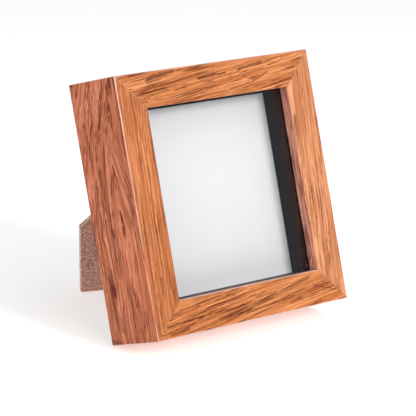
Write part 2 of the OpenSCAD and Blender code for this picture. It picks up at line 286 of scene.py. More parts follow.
def dress(obj, finish):
    """Gives every slot of an object one finish."""
    if not obj.data.materials:
        obj.data.materials.append(finish.material)
    for slot in obj.material_slots:
        slot.material = finish.material


# ---------------------------------------------------------------- foil on the rails

# For each rail: slope of the grain on its front; how strongly its lines and its pores show, on
# its front and on its other faces; its tint, a painted light and shade that makes the left rail
# darker and the right rail lighter and cooler; the start of its pattern; and the streaks that
# stand out on its front, each as (start, end, width, strength) with points along the rail from
# its middle and in from its outer edge, in millimetres.
# The left rail has streaks on its outer side too, with points of depth and height. Where the
# strength is negative, the streak is pale.
GRAIN = {
    "top": dict(
        slope=-0.095, lines=(1.0, 0.9), pores=(1.0, 0.9), tint=(1.02, 1.06, 1.09), seed=3.0,
        streaks=(
            ((-12.8, 7.7), (7.0, 6.4), 0.8, 0.9), ((9.7, 15.3), (27.2, 13.1), 0.6, 0.9),
            ((16.6, 5.6), (34.2, 3.3), 0.7, 0.8), ((-57.0, 11.9), (-21.4, 9.1), 0.6, 0.5),
            ((-48.0, 5.5), (-30.0, 1.5), 2.2, 0.5), ((27.0, 13.0), (38.0, 9.5), 0.5, 0.8))),
    "bottom": dict(
        slope=0.13, lines=(1.0, 0.9), pores=(1.1, 0.9), tint=(1.02, 1.05, 1.02), seed=11.0,
        streaks=(
            ((-62.3, 6.2), (-36.8, 8.0), 0.8, 0.95), ((-25.5, 4.3), (-5.0, 7.2), 1.6, 0.55),
            ((-52.4, 13.4), (-22.7, 16.6), 0.5, 0.7), ((-5.6, 4.5), (30.6, 7.7), 0.7, 0.7),
            ((-20.0, 3.2), (17.5, 10.6), 1.8, 0.5), ((17.0, 10.4), (43.0, 15.6), 1.5, 0.5),
            ((46.0, 11.5), (60.0, 6.5), 0.6, 0.6), ((-60.0, 1.8), (-48.0, 3.4), 1.2, 0.7))),
    "left": dict(
        slope=0.03, lines=(0.7, 1.0), pores=(0.8, 1.0), tint=(0.93, 0.91, 0.96), seed=23.0,
        streaks=(((-66.0, 14.5), (-38.0, 17.8), 1.2, 0.35),),
        side_streaks=(
            ((24.5, 92.0), (23.0, 66.0), 2.6, 0.55), ((23.5, 68.0), (23.0, 36.0), 1.7, 0.4),
            ((19.0, 114.0), (11.0, 139.0), 0.9, 0.75), ((7.3, 134.0), (10.6, 122.0), 0.8, 0.6),
            ((1.4, 138.0), (1.4, 98.0), 0.9, 0.75), ((30.5, 118.0), (30.0, 92.0), 0.9, 0.55),
            ((4.5, 139.0), (7.0, 131.0), 0.7, 0.6), ((33.0, 21.0), (27.0, 9.0), 4.0, 0.4),
            ((37.5, 2.0), (32.0, 1.0), 1.8, 0.6), ((29.6, 31.0), (29.0, 39.0), 1.8, 0.55),
            ((24.8, 29.0), (24.4, 21.0), 1.8, -0.6), ((33.6, 34.0), (32.8, 29.0), 1.2, -0.5),
            ((36.0, 48.0), (36.2, 38.0), 0.8, 0.7), ((12.0, 100.0), (4.0, 72.0), 0.8, 0.45),
            ((14.5, 88.0), (8.0, 60.0), 0.8, 0.4))),
    "right": dict(
        slope=-0.05, lines=(0.5, 0.9), pores=(0.8, 0.9), tint=(1.10, 1.32, 1.78), seed=31.0,
        streaks=()),
}

# Layers of the printed pattern: how fast each changes across and along the grain, per
# millimetre; its shift, detail and roughness; the levels between which it comes in; and how
# strong it is
LAYERS = {
    "bands": dict(across=0.5, along=0.010, shift=0.0, detail=2.0, rough=0.55,
                  levels=(0.42, 0.58), strength=0.8),
    "patches": dict(across=0.12, along=0.020, shift=5.0, detail=2.0, rough=0.55,
                    levels=(0.42, 0.58), strength=0.35),
    "lines": dict(across=1.0, along=0.015, shift=9.0, detail=2.0, rough=0.65,
                  levels=(0.51, 0.56), strength=0.72),
    "pores": dict(across=2.0, along=0.05, shift=29.0, detail=1.0, rough=0.55,
                  levels=(0.535, 0.575), strength=0.88),
    "clusters": dict(across=0.30, along=0.03, shift=17.0, detail=2.0, rough=0.55,
                     levels=(0.44, 0.56), strength=0.6),
    "fibre": dict(across=6.0, along=0.25, shift=41.0, detail=1.0, rough=0.55,
                  levels=(0.4, 0.65), strength=0.35),
}

# How the grain wanders off its line: speed along it and across it, per millimetre, detail, and
# reach in millimetres
WANDER = ((0.03, 0.10, 1.0, 2.4), (0.22, 0.9, 2.0, 0.5))

# Arched grain on the left side, in millimetres of depth and height
ARCH_TIP = (13.0, 118.0)
ARCH_LEGS = 64.0             # height at which its legs straighten
ARCH_SPREAD = 0.18           # how fast its legs part
LEG_ROUNDING = 12.0          # how gently its legs start
TIP_ROUNDING = 3.0           # how blunt its tip is
SWAY_FROM = 106.0            # height above which the whole arch leans over
SWAY = 0.25                  # how far it leans, as a share of the height above that
SWAY_ROUNDING = 8.0          # how gently the lean starts
ARCH_ON_FRONT = 0.3          # how much of the arch carries over the arris to the front
DEPTH_ON_FRONT = 0.16        # how much the depth slants the grain over the arris

# Knot on the left side
KNOT = (29.4, 28.6)          # its depth and height
KNOT_TALL = 1.8              # how much taller than deep its rings are, squared
KNOT_REACH = (0.05, 0.014)   # how fast its pull on the grain fades, in depth and in height
KNOT_PULL = 0.85             # how far it pulls the grain round itself
HEART_TONE = (0.12, 0.014, 0.004)
HEART = (4.6, 1.8)           # size of its heart, from the rim to full strength
HEART_SHARE = 0.92
HALO = (10.0, 4.0)           # size of the dark ring round the heart
HALO_SHARE = 0.35

RAGGED = 0.25                # how much the pores break up the streaks
STREAK_WOBBLE = 1.6          # how far the streaks stray from their lines, from end to end
WOBBLE_RATE = 0.25           # how fast they stray, per millimetre
PALE_MARKS = 0.7             # how far the grain's marks fade in a pale streak

# Painted shade: the outer sides and the wall of the lip get cooler copies of the front's colour, for the
# shade that falls on them.
SIDE_SHADE_TINT = (1.11, 1.04, 1.38)     # outer sides, beside the front
LIP_SHADE_TINT = (0.96, 1.00, 1.50)      # wall of the lip, beside the front
# Painted highlight: the pale arris of the bottom rail's lip stands in for light caught on its edge.
LIP_HIGHLIGHT = (0.72, 0.66, 0.68)      # pale arris of the bottom rail's lip
JOINT_LINE = (0.16, 0.05, 0.02)    # hairline of a tight mitre
CORE = (0.36, 0.22, 0.14)          # bare fibreboard of the rails

ARRIS = (0.75, 0.15)         # how far from its edge an arris is rubbed, from least to most
WEAR = 0.45                  # wear by chance, and again by height
WEAR_RISE = (-70.0, 60.0)    # from least to most wear, along an upright rail
HAIRLINE = (0.38, 0.12)      # half the width of the line at the mitre, from faint to full
HAIRLINE_SHARE = 0.55        # its strength
PALE_MITRE = (15.0, 9.0)     # in from the outer edge, where the upper mitres' hairline is pale
LIP_HIGHLIGHT_REACH = (0.6, 0.2)         # how far from the bottom rail's lip its arris is pale


def rail_place(f, side):
    """Along the rail from its middle, in from its outer edge, and depth, in millimetres."""
    x, y, z = f.face()
    if side == "top":
        return x, f.sub(HEIGHT, z), y
    if side == "bottom":
        return x, z, y
    if side == "left":
        return f.sub(z, HEIGHT / 2), f.add(x, WIDTH / 2), y
    return f.sub(z, HEIGHT / 2), f.sub(WIDTH / 2, x), y


def arched(f, along, depth):
    """Grain of the left side: an arch with slanting legs, bent round a knot."""
    height = f.add(along, HEIGHT / 2)
    rise = f.math("SMOOTH_MAX", f.sub(height, ARCH_LEGS), 0.0, LEG_ROUNDING)
    rise = f.mul(f.sub(rise, ARCH_TIP[1] - ARCH_LEGS), ARCH_SPREAD)
    sway = f.mul(f.math("SMOOTH_MAX", f.sub(height, SWAY_FROM), 0.0, SWAY_ROUNDING), SWAY)
    off = f.add(f.sub(depth, ARCH_TIP[0]), sway)
    rings = f.math("SMOOTH_MAX", f.add(rise, off), f.sub(rise, off), TIP_ROUNDING)
    knot_y = f.sub(depth, KNOT[0])
    knot_z = f.sub(height, KNOT[1])
    fade = f.add(f.mul(f.mul(knot_y, knot_y), KNOT_REACH[0]), f.mul(f.mul(knot_z, knot_z), KNOT_REACH[1]))
    near = f.math("EXPONENT", f.mul(fade, -1.0))
    knot = f.math("SQRT", f.add(f.mul(f.mul(knot_y, knot_y), KNOT_TALL), f.mul(knot_z, knot_z)))
    return f.sub(rings, f.mul(f.mul(knot_y, near), KNOT_PULL)), knot


def wandering(f, along, front, ring, seed):
    """How far the grain wanders off its line, in millimetres."""
    total = 0.0
    for run, rate, detail, reach in WANDER:
        place = f.vector(f.mul(along, run), f.mul(front, rate), f.add(f.mul(ring, rate), seed))
        total = f.add(total, f.mul(f.sub(f.noise(place, detail=detail), 0.5), reach))
    return total


def printed_grain(f, side, place, faces, settings):
    """Colour of the printed foil, and its dark marks."""
    grain = GRAIN[side]
    along, across, depth = place
    on_front, on_side = faces
    ring = depth
    front = f.sub(across, f.mul(along, grain["slope"]))
    if side == "left":
        ring, knot = arched(f, along, depth)
        ring = f.mul(ring, on_side)
        front = f.add(front, f.add(f.mul(ring, ARCH_ON_FRONT), f.mul(depth, DEPTH_ON_FRONT)))
    wander = wandering(f, along, front, ring, grain["seed"])
    front = f.add(front, wander)
    ring = f.add(ring, wander)

    def layer(name):
        """One layer of the pattern, from 0 to 1."""
        row = LAYERS[name]
        spot = f.vector(f.add(f.mul(front, row["across"]), row["shift"] + grain["seed"]),
                        f.mul(ring, row["across"]), f.mul(along, row["along"]))
        return f.smooth(f.noise(spot, detail=row["detail"], roughness=row["rough"]), *row["levels"])

    def strength(name):
        return LAYERS[name]["strength"]

    def by_face(shares):
        """The first share on the rail's front and the second on its other faces."""
        return f.add(f.mul(on_front, shares[0] - shares[1]), shares[1])

    tone = f.mix(f.mul(layer("bands"), strength("bands")), settings.light, settings.middle)
    tone = f.mix(f.mul(layer("patches"), strength("patches")), tone, settings.middle)
    clusters = f.add(f.mul(layer("clusters"), strength("clusters")), 1 - strength("clusters"))
    pores = layer("pores")
    grainy = f.mul(f.mul(layer("lines"), clusters), by_face(grain["lines"]))
    porous = f.mul(f.mul(pores, clusters), by_face(grain["pores"]))
    marks = f.math("MAXIMUM", f.mul(grainy, strength("lines")), f.mul(porous, strength("pores")))

    round_rail = f.mul(f.add(across, depth), WOBBLE_RATE)
    wobble = f.noise(f.vector(f.mul(along, WOBBLE_RATE), round_rail, grain["seed"]))
    wobble = f.mul(f.sub(wobble, 0.5), STREAK_WOBBLE)
    ragged = f.add(f.mul(pores, RAGGED), 1 - RAGGED)
    front_spot = f.vector(along, f.add(across, wobble))
    side_spot = f.vector(f.add(depth, wobble), f.add(along, HEIGHT / 2))
    streaks = [(front_spot, on_front, *row) for row in grain["streaks"]]
    streaks += [(side_spot, on_side, *row) for row in grain.get("side_streaks", ())]
    heavy = 0.0
    for spot, on_face, start, end, width, dark in streaks:
        streak = f.mul(f.mul(f.beside(spot, start, end, width), on_face), abs(dark))
        if dark > 0:
            heavy = f.math("MAXIMUM", heavy, f.mul(streak, ragged))
        else:
            tone = f.mix(streak, tone, settings.light)
            marks = f.mul(marks, f.sub(1.0, f.mul(streak, PALE_MARKS)))

    tone = f.mix(f.mul(layer("fibre"), strength("fibre")), tone, settings.middle)
    tone = f.mix(marks, tone, settings.dark)
    tone = f.mix(heavy, tone, settings.streak)
    # Painted light and shade: each rail's tint makes the left rail darker and the right rail lighter and
    # cooler, as the light falls on them.
    tone = f.mix(1.0, tone, grain["tint"], "MULTIPLY")
    if side == "left":
        heart = f.smooth(f.add(knot, f.mul(wobble, 2.0)), *HEART)
        halo = f.smooth(f.add(knot, f.mul(wobble, 4.0)), *HALO)
        tone = f.mix(f.mul(f.mul(halo, on_side), HALO_SHARE), tone, settings.dark)
        tone = f.mix(f.mul(f.mul(heart, on_side), HEART_SHARE), tone, HEART_TONE)
    return tone, marks


def foil(side, settings):
    """Printed wood foil over a fibreboard core, for one rail."""
    f = Finish("foil_rail_" + side, roughness=settings.gloss, specular_ior_level=0.12)
    place = rail_place(f, side)
    along, across, depth = place
    on_front = f.smooth(depth, *TURN)
    on_side = f.smooth(across, *TURN)
    tone, marks = printed_grain(f, side, place, (on_front, on_side), settings)

    # Painted shade: cooler copies of the foil's colour on the outer sides and on the lip's wall.
    tone = f.mix(on_side, tone, f.mix(1.0, tone, SIDE_SHADE_TINT, "MULTIPLY"))
    on_lip = f.mul(f.smooth(across, FACE_W - TURN[0], FACE_W - TURN[1]), f.smooth(depth, TURN[1], TURN[0]))
    tone = f.mix(on_lip, tone, f.mix(1.0, tone, LIP_SHADE_TINT, "MULTIPLY"))

    # Rubbed arrises, the painted highlight on the bottom rail's lip, and the hairline at the mitre
    arris = f.mul(f.smooth(across, *ARRIS), f.smooth(depth, *ARRIS))
    rub = f.noise(f.vector(f.mul(along, 0.05), 0.0, GRAIN[side]["seed"]), detail=3.0)
    high_up = f.smooth(along, *WEAR_RISE) if side in ("left", "right") else 0.5
    wear = f.add(f.mul(f.smooth(rub, 0.35, 0.65), WEAR), f.mul(high_up, WEAR))
    tone = f.mix(f.mul(arris, wear), tone, settings.worn)
    if side == "bottom":
        # Painted highlight: a pale line along the arris of the bottom rail's lip.
        lip_highlight = f.smooth(across, FACE_W - LIP_HIGHLIGHT_REACH[0], FACE_W - LIP_HIGHLIGHT_REACH[1])
        lip_highlight = f.mul(lip_highlight, f.smooth(depth, 0.8, 0.2))
        tone = f.mix(f.mul(lip_highlight, 0.6), tone, LIP_HIGHLIGHT)
    half = (WIDTH if side in ("top", "bottom") else HEIGHT) / 2
    to_mitre = f.sub(f.sub(half, f.math("ABSOLUTE", along)), across)
    hairline = f.smooth(f.math("ABSOLUTE", to_mitre), *HAIRLINE)
    if side in ("top", "left"):
        pale = f.mul(f.smooth(across, *PALE_MITRE), 0.55)
    else:
        pale = f.smooth(rub, 0.5, 0.7, 0.0, 0.3)
    tone = f.mix(f.mul(hairline, HAIRLINE_SHARE), tone, f.mix(pale, JOINT_LINE, settings.worn))

    # Bare fibreboard in the rebate and on the back, inside the turned-over foil's frayed edge.
    # The small distances keep each face's finish off the faces beside it.
    fray = f.mul(f.sub(f.noise(f.vector(f.mul(along, 0.4), 7.0), detail=3.0), 0.5), 1.2)
    turned = settings.turn_over / MM
    back = f.mul(f.smooth(depth, DEPTH - 0.05, DEPTH - 0.02),
                 f.smooth(f.add(across, fray), turned, turned + 0.15))
    rebate = f.mul(f.smooth(depth, LIP + 0.02, LIP + 0.06), f.smooth(across, WALL - 0.1, WALL - 0.03))
    bare = f.math("MAXIMUM", back, rebate)
    tone = f.mix(bare, tone, fibreboard(f, f.vector(along, across, depth), CORE))
    f.set(base_color=tone)
    f.bump(f.sub(1.0, marks), 0.35, 0.08)
    f.set(roughness=f.add(f.mul(bare, 0.4), f.add(f.mul(marks, 0.12), settings.gloss - 0.03)))
    return f


def scaled(tint, by):
    """A colour made darker or lighter."""
    return tuple(min(1.0, by * c) for c in tint)


def fibreboard(f, place, base):
    """Colour of pressed wood fibre: fine dark and pale flecks on a mottled ground."""
    ground = f.mix(f.smooth(f.noise(place, 0.12, 3.0), 0.35, 0.65, 0.0, 0.35), base, scaled(base, 0.72))
    fleck = f.noise(place, 0.9, 3.0, 0.8)
    ground = f.mix(f.smooth(fleck, 0.51, 0.58, 0.0, 0.7), ground, scaled(base, 0.30))
    return f.mix(f.smooth(fleck, 0.48, 0.40, 0.0, 0.7), ground, scaled(base, 1.7))


# ---------------------------------------------------------------- meshes

WELD = 0.002 * MM
FLAT_ANGLE = radians(0.5)
SHARP_ANGLE = radians(32)


def settle(mesh_maker, name, body, finish, *stands_for, slot=None):
    """Puts a finished mesh in the scene, on its body, in place of the CAD nodes it stands for."""
    mesh = bpy.data.meshes.new(name)
    mesh_maker.to_mesh(mesh)
    mesh_maker.free()
    obj = bpy.data.objects.new(name, mesh)
    bpy.context.scene.collection.objects.link(obj)
    dress(obj, finish)
    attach(obj, body)
    if stands_for:
        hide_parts(*stands_for)
    return obj


def eased(node, name, body, finish, ease, slot, segments=2):
    """A CAD node's shape with its flat faces made whole and its sharp edges rounded."""
    bm = bmesh.new()
    bm.from_mesh(frame["nodes"][node].data)
    bmesh.ops.remove_doubles(bm, verts=bm.verts, dist=WELD)
    bmesh.ops.dissolve_limit(bm, angle_limit=FLAT_ANGLE, verts=bm.verts, edges=bm.edges)
    bmesh.ops.recalc_face_normals(bm, faces=bm.faces)
    sharp = [e for e in bm.edges if e.is_manifold and e.calc_face_angle(0) > SHARP_ANGLE]
    bmesh.ops.bevel(bm, geom=sharp, offset=ease, offset_type="OFFSET", segments=segments,
                    profile=0.5, affect="EDGES", clamp_overlap=True)
    for face in bm.faces:
        face.smooth = False
    return settle(bm, name, body, finish, node, slot=slot)


def loose_boxes(node, matrix):
    """Boxes of a CAD node's separate solids, in the directions that matrix leads from."""
    bm = bmesh.new()
    bm.from_mesh(frame["nodes"][node].data)
    bmesh.ops.remove_doubles(bm, verts=bm.verts, dist=WELD)
    back = matrix.inverted()
    left = set(bm.verts)
    boxes = []
    while left:
        reached = [left.pop()]
        part = list(reached)
        while reached:
            v = reached.pop()
            for e in v.link_edges:
                other = e.other_vert(v)
                if other in left:
                    left.remove(other)
                    part.append(other)
                    reached.append(other)
        boxes.append(box_of([back @ v.co for v in part]))
    bm.free()
    return sorted(boxes, key=lambda b: tuple(round(c, 3) for c in b[0]))


def lathe(bm, profile, place, steps=48):
    """Turns a profile of (radius, height) round the Y direction of place, closed at both ends."""
    rings = []
    for radius, height in profile:
        if radius < 1e-6:
            rings.append([bm.verts.new(place @ Vector((0, height, 0)))])
            continue
        rings.append([bm.verts.new(place @ Vector((radius * cos(2 * pi * k / steps), height,
                                                   radius * sin(2 * pi * k / steps))))
                      for k in range(steps)])
    for lower, upper in zip(rings, rings[1:]):
        for k in range(steps):
            corners = [lower[k % len(lower)], lower[(k + 1) % len(lower)],
                       upper[(k + 1) % len(upper)], upper[k % len(upper)]]
            unique = list(dict.fromkeys(corners))
            if len(unique) > 2:
                bm.faces.new(unique).smooth = True


# ---------------------------------------------------------------- operators

def settings_of(context):
    return context.scene.coin_frame


class COINFRAME_OT_rails(bpy.types.Operator):
    """Cover the four rails with wood-effect foil"""
    bl_idname = "coinframe.rails"
    bl_label = "Foil-wrapped rails"

    def execute(self, context):
        for side in SIDES:
            dress(frame["nodes"]["rail_" + side], foil(side, settings_of(context).foil))
        return {"FINISHED"}


class COINFRAME_OT_corner_nails(bpy.types.Operator):
    """Finish the V-nails that hold the mitres"""
    bl_idname = "coinframe.corner_nails"
    bl_label = "Corner nails"

    def execute(self, context):
        metal = settings_of(context).metal
        f = Finish("bright_nail_strip", metallic=1.0)
        x, y, z = f.face()
        rolled = f.noise(f.vector(x, f.mul(y, 0.2), z), 3.0, 3.0)
        f.set(base_color=f.mix(f.smooth(rolled, 0.3, 0.7), metal.nail, scaled(metal.nail, 0.6)))
        f.set(roughness=f.smooth(rolled, 0.2, 0.8, 0.3, 0.5))
        f.bump(rolled, 0.2, 0.02)
        dress(frame["nodes"]["corner_nails"], f)
        return {"FINISHED"}


class COINFRAME_OT_glass(bpy.types.Operator):
    """Make the pane clear, with faint smears"""
    bl_idname = "coinframe.glass"
    bl_label = "Glass"

    def execute(self, context):
        f = Finish("clear_glass", base_color=(1.0, 1.0, 1.0), ior=1.45, transmission_weight=1.0,
                   specular_ior_level=0.15)
        x, y, z = f.face()
        smear = f.noise(f.vector(x, y, z), 0.06, 4.0, 0.6, 0.8)
        f.set(roughness=f.smooth(smear, 0.55, 0.8, 0.0, 0.03))
        pane = frame["nodes"]["glass"]
        dress(pane, f)
        # The lights shine through the pane as if it were not there. Light that bounces off the
        # card has to skip it as well, or the card would be lit twice.
        pane.visible_shadow = False
        pane.visible_diffuse = False
        return {"FINISHED"}


DUST = (0.6, 0.6, 0.62)
DUST_SIZE = (0.22, 0.1)         # share of its cell that a speck fills, from rim to full
DUST_CELLS = 0.6                # cells per millimetre
DUST_HEIGHT = (31.0, 22.0)      # up the face, from no dust to most
STRIP_EASE = 0.12 * MM


def spacer_finish(settings):
    """Satin black board, dusty low down."""
    f = Finish("satin_black_board", specular_ior_level=0.06)
    x, y, z = f.face()
    place = f.vector(x, y, z)
    fibre = f.noise(place, 1.4, 4.0, 0.6)
    tone = f.mix(f.smooth(fibre, 0.3, 0.75), settings.spacer, scaled(settings.spacer, 1.9))
    spot = f.vector(f.add(x, f.mul(y, 0.7)), f.add(z, f.mul(y, 0.6)))
    dust = f.smooth(f.cells(spot, DUST_CELLS), *DUST_SIZE)
    low_down = f.smooth(z, *DUST_HEIGHT)
    tone = f.mix(f.mul(f.mul(dust, low_down), 0.6), tone, DUST)
    f.set(base_color=tone, roughness=f.smooth(fibre, 0.2, 0.8, 0.42, 0.58))
    f.bump(fibre, 0.25, 0.05)
    return f


class COINFRAME_OT_front_spacers(bpy.types.Operator):
    """Make the black strips between the glass and the card"""
    bl_idname = "coinframe.front_spacers"
    bl_label = "Front spacers"

    def execute(self, context):
        board = settings_of(context).board
        f = spacer_finish(board)
        for side in SIDES:
            eased("front_spacer_" + side, "black_strip_" + side, "frame", f, STRIP_EASE, "spacer_black")
        return {"FINISHED"}


SPECK_CELLS = 0.026             # cells per millimetre
SPECK_SIZE = (0.012, 0.005)     # share of its cell that a speck fills, from rim to full
SPECK = (0.3, 0.29, 0.28)
CARD_EASE = 0.08 * MM


class COINFRAME_OT_insert_card(bpy.types.Operator):
    """Make the plain card at the back of the display space"""
    bl_idname = "coinframe.insert_card"
    bl_label = "Insert card"

    def execute(self, context):
        board = settings_of(context).board
        f = Finish("smooth_white_card", specular_ior_level=0.3)
        x, y, z = f.face()
        place = f.vector(x, y, z)
        pulp = f.noise(place, 2.2, 4.0, 0.65)
        cloud = f.noise(place, 0.05, 2.0)
        tone = f.mix(f.smooth(cloud, 0.3, 0.7, 0.0, 0.5), board.card, scaled(board.card, 0.97))
        tone = f.mix(f.smooth(pulp, 0.35, 0.7, 0.0, 0.3), tone, scaled(board.card, 0.93))
        speck = f.smooth(f.cells(f.vector(x, z), SPECK_CELLS), *SPECK_SIZE)
        tone = f.mix(f.mul(speck, 0.5), tone, SPECK)
        f.set(base_color=tone, roughness=f.smooth(pulp, 0.2, 0.8, 0.5, 0.65))
        f.bump(pulp, 0.15, 0.03)
        eased("insert_card", "white_card", "frame", f, CARD_EASE, "insert_white")
        return {"FINISHED"}


GREY_STRIP_EASE = 0.15 * MM


class COINFRAME_OT_rear_spacers(bpy.types.Operator):
    """Make the grey board strips behind the card"""
    bl_idname = "coinframe.rear_spacers"
    bl_label = "Rear spacers"

    def execute(self, context):
        board = settings_of(context).board
        f = Finish("grey_board", roughness=0.8, specular_ior_level=0.25)
        x, y, z = f.face()
        place = f.vector(x, f.mul(y, 0.4), z)
        f.set(base_color=fibreboard(f, place, tuple(board.raw_spacer)))
        f.bump(f.noise(place, 2.6, 3.0, 0.7), 0.3, 0.06)
        for side in SIDES:
            eased("rear_spacer_" + side, "grey_strip_" + side, "frame", f, GREY_STRIP_EASE, "raw_spacer")
        return {"FINISHED"}


def board_finish(name, base, edge, place_of):
    """Fibreboard with paler cut edges. place_of gives a place and how much of it is a cut edge."""
    f = Finish(name, specular_ior_level=0.3)
    place, cut = place_of(f)
    tone = fibreboard(f, place, tuple(base))
    tone = f.mix(f.mul(cut, 0.85), tone, fibreboard(f, place, tuple(edge)))
    rough = f.noise(place, 3.0, 3.0, 0.7)
    f.set(base_color=tone, roughness=f.smooth(rough, 0.2, 0.8, 0.55, 0.75))
    f.bump(rough, 0.35, 0.05)
    return f


class COINFRAME_OT_backboard(bpy.types.Operator):
    """Make the fibreboard back"""
    bl_idname = "coinframe.backboard"
    bl_label = "Backboard"

    def execute(self, context):
        board = settings_of(context).board

        def place_of(f):
            x, y, z = f.face()
            from_middle = f.math("ABSOLUTE", f.sub(z, HEIGHT / 2 - DROP_IN_GAP))
            inside = f.math("MINIMUM", f.sub(WIDTH / 2 - WALL - DROP_IN_GAP, f.math("ABSOLUTE", x)),
                            f.sub(HEIGHT / 2 - WALL - DROP_IN_GAP, from_middle))
            return f.vector(x, y, z), f.smooth(inside, 0.9, 0.2)

        f = board_finish("fibreboard_back", board.backboard, board.cut_edge, place_of)
        eased("backboard", "back_panel", "frame", f, board.ease, "backboard_fibre")
        return {"FINISHED"}


class COINFRAME_OT_strut_leg(bpy.types.Operator):
    """Make the fibreboard strut leg"""
    bl_idname = "coinframe.strut_leg"
    bl_label = "Strut leg"

    def execute(self, context):
        board = settings_of(context).board

        def place_of(f):
            x, y, z = f.face()
            normal = f.node("ShaderNodeTexCoord").outputs["Normal"]
            flat = (LEG.to_3x3() @ Vector((0, 1, 0))).normalized()
            facing = f.math("ABSOLUTE", f.vmath("DOT_PRODUCT", normal, tuple(flat), out="Value"))
            return f.vector(x, y, z), f.smooth(facing, 0.9, 0.5)

        f = board_finish("fibreboard_leg", board.leg, board.cut_edge, place_of)
        eased("strut_leg", "leg_board", "leg", f, board.ease, "leg_fibre")
        return {"FINISHED"}


def zinc(metal):
    """Bright zinc plating with faint clouding and rubbed scratches."""
    f = Finish("zinc_plate", metallic=1.0)
    x, y, z = f.face()
    place = f.vector(x, y, z)
    cloud = f.noise(place, 0.5, 4.0, 0.6, 0.6)
    scratch = f.noise(f.vector(f.mul(x, 6.0), f.mul(y, 6.0), f.mul(z, 0.7)), 1.0, 2.0, 0.7)
    tone = f.mix(f.smooth(cloud, 0.3, 0.7), metal.zinc, scaled(metal.zinc, 0.78))
    tone = f.mix(f.smooth(scratch, 0.62, 0.75, 0.0, 0.4), tone, scaled(metal.zinc, 0.55))
    f.set(base_color=tone, roughness=f.smooth(cloud, 0.25, 0.75, metal.gloss - 0.06, metal.gloss + 0.12))
    f.bump(f.add(f.mul(scratch, 0.5), cloud), 0.12, 0.03)
    return f


class COINFRAME_OT_turn_buttons(bpy.types.Operator):
    """Make the turn buttons that hold the back in"""
    bl_idname = "coinframe.turn_buttons"
    bl_label = "Turn buttons"

    def execute(self, context):
        metal = settings_of(context).metal
        f = zinc(metal)
        for side in SIDES:
            eased("turn_button_" + side, "button_plate_" + side, "button_" + side, f,
                  metal.ease, "zinc_steel", segments=3)
        return {"FINISHED"}


# Screws, in millimetres
BUTTON_SHANK_R = 1.4
HANGER_SHANK_R = 1.1
BUTTON_HEAD_H = 1.6
HEAD_STEPS, HEAD_RINGS = 72, 20
HEAD_FALL = 0.72                # how far the dome has fallen at its rim, as a share of its height
RIM_H = 0.28                    # the rest, which the rim stands
# Cross recess, as shares of the head's radius: half an arm's length and width, and the slope of
# the walls. The width has a fixed part too, and the depth is a share of the head's height.
ARM_L, ARM_W, ARM_W_MORE, RECESS_SLOPE, RECESS_DEPTH = 0.6, 0.11, 0.12, 0.12, 0.55
# One turn of thread: share of the shank's radius, and how far down the turn
THREAD = ((1.0, 0.1), (0.75, 0.45), (1.0, 0.8))
TIP_L = 1.6


def screw(bm, low, high, shank_r):
    """A pan-head screw in face directions, with its cross recess pressed into the dome."""
    middle = (low + high) / 2
    head_r = (high.x - low.x) / 2
    head_h = BUTTON_HEAD_H * shank_r / BUTTON_SHANK_R
    base = high.y - head_h
    place = FACE @ Matrix.Translation((middle.x, base, middle.z))
    arm_l, arm_w, deep = ARM_L * head_r, ARM_W * head_r + ARM_W_MORE, RECESS_DEPTH * head_h
    steps = HEAD_STEPS
    grid = []
    for k in range(HEAD_RINGS + 1):
        r = head_r * (1 - (k / HEAD_RINGS) ** 1.2)
        fall = (r / head_r) ** 2
        ring = []
        for j in range(steps if r > 1e-6 else 1):
            turn = 2 * pi * j / steps
            x, z = r * cos(turn), r * sin(turn)
            height = head_h * (1 - HEAD_FALL * fall ** 1.5)
            arm = min(max(abs(x) - arm_w, 0) + max(abs(z) - arm_l, 0),
                      max(abs(z) - arm_w, 0) + max(abs(x) - arm_l, 0))
            height -= deep * max(0.0, 1 - arm / (RECESS_SLOPE * head_r))
            ring.append(bm.verts.new(place @ Vector((x, height, z))))
        grid.append(ring)
    for outer, inner in zip(grid, grid[1:]):
        for j in range(steps):
            corners = list(dict.fromkeys([outer[j], outer[(j + 1) % steps],
                                          inner[(j + 1) % len(inner)], inner[j % len(inner)]]))
            if len(corners) > 2:
                bm.faces.new(corners).smooth = True
    rim = [(head_r, RIM_H * head_h), (head_r * 0.98, 0.02), (head_r * 0.9, 0.0), (shank_r, 0.0)]
    y = 0.0
    while base + y > low.y + TIP_L:
        rim += [(shank_r * wide, y - down) for wide, down in THREAD]
        y -= THREAD[-1][1]
    rim.append((0.0, low.y - base))
    lathe(bm, rim, place, steps)


class COINFRAME_OT_screws(bpy.types.Operator):
    """Make the screws of the turn buttons and of the hanging plates"""
    bl_idname = "coinframe.screws"
    bl_label = "Screws"

    def execute(self, context):
        f = zinc(settings_of(context).metal)
        for node, shank_r in (("button_screws", BUTTON_SHANK_R), ("hanger_screws", HANGER_SHANK_R)):
            bm = bmesh.new()
            for low, high in loose_boxes(node, FACE):
                screw(bm, low, high, shank_r)
            bmesh.ops.remove_doubles(bm, verts=bm.verts, dist=WELD / 2)
            bmesh.ops.recalc_face_normals(bm, faces=bm.faces)
            settle(bm, "cross_" + node, "frame", f, node, slot="zinc_steel")
        return {"FINISHED"}


# Rivets: shares of the head's radius, and millimetres over the tail's end or the head's seat
RIVET_TAIL = ((0.0, 0.0), (0.5, 0.0), (0.56, 0.12))
RIVET_HEAD = ((0.56, 0.0), (0.92, 0.0), (1.0, 0.1), (1.0, 0.3), (0.93, 0.52), (0.78, 0.72),
              (0.55, 0.85), (0.34, 0.9), (0.27, 0.8), (0.22, 0.55), (0.0, 0.45))
RIVET_HEAD_H = 0.9


